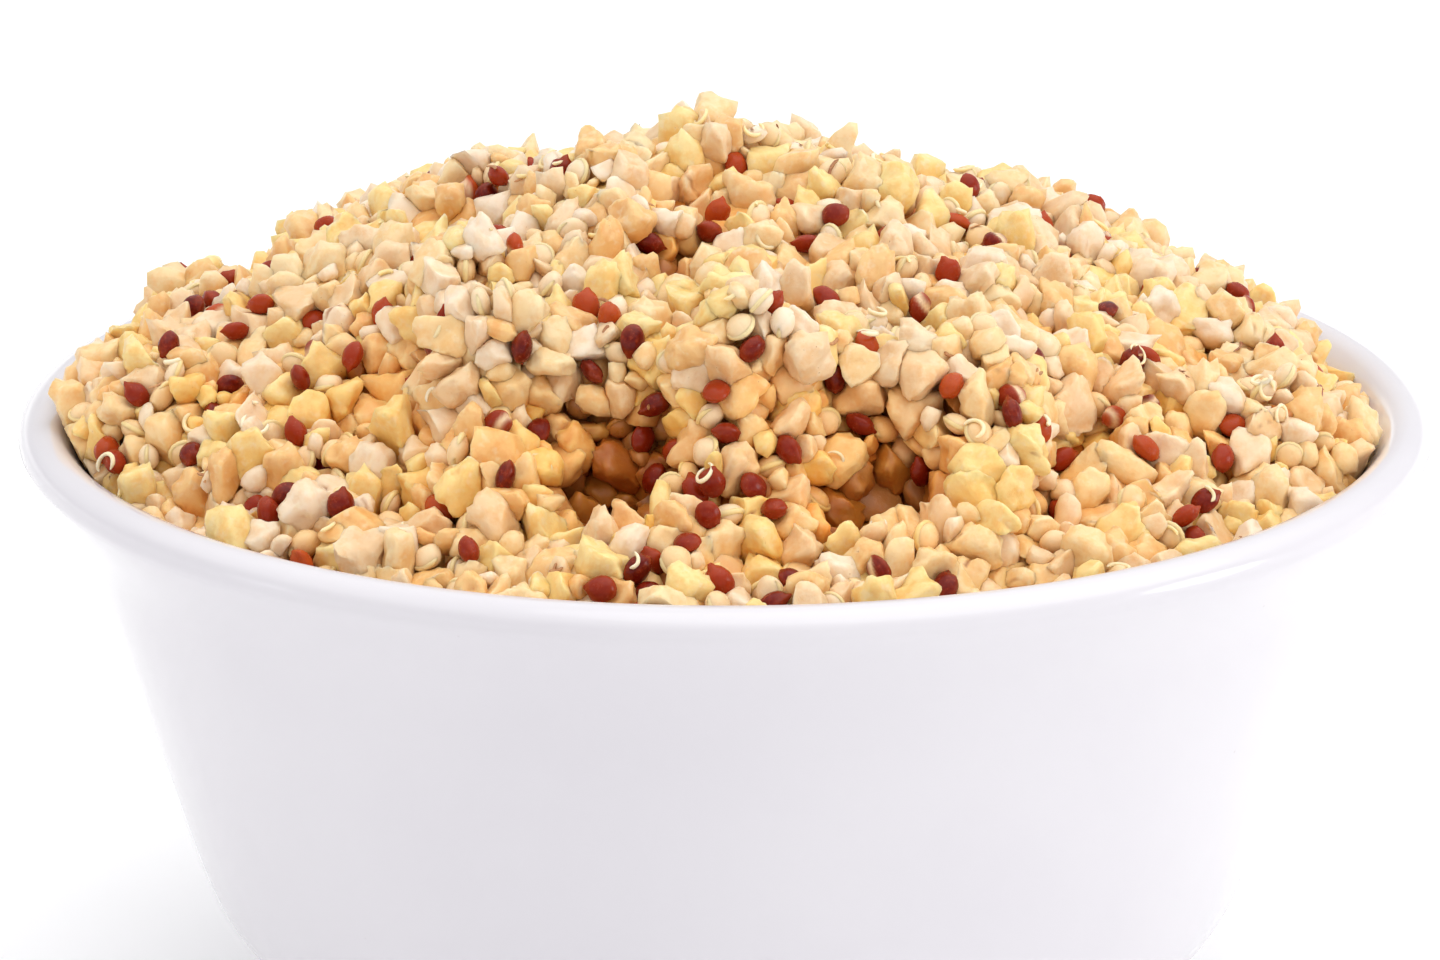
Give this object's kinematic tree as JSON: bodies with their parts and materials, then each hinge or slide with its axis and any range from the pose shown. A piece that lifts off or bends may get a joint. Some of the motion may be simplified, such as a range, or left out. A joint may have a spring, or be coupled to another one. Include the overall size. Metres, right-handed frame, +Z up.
{
  "type": "bowl of bulgur and quinoa",
  "caption": "Small round white bowl with a rolled lip, heaped high with a cooked mix of cracked bulgur wheat and white and red quinoa.",
  "frame": {"origin": "middle of the bowl's foot, on the surface that the bowl stands on", "axes": "+Z up along the bowl's axis; the heap's broken front slope faces -Y, and +X is to the right seen from the front"},
  "size_m": [0.1306, 0.1306, 0.0903],
  "materials": {
    "bowl_glaze": "smooth white glaze, glossy",
    "cooked_grain": "moist cooked grain, pale yellow with dark red seeds"
  },
  "bodies": {
    "root": {"bowl": "bowl_glaze", "quinoa_heap": "cooked_grain"}
  },
  "joints": []
}
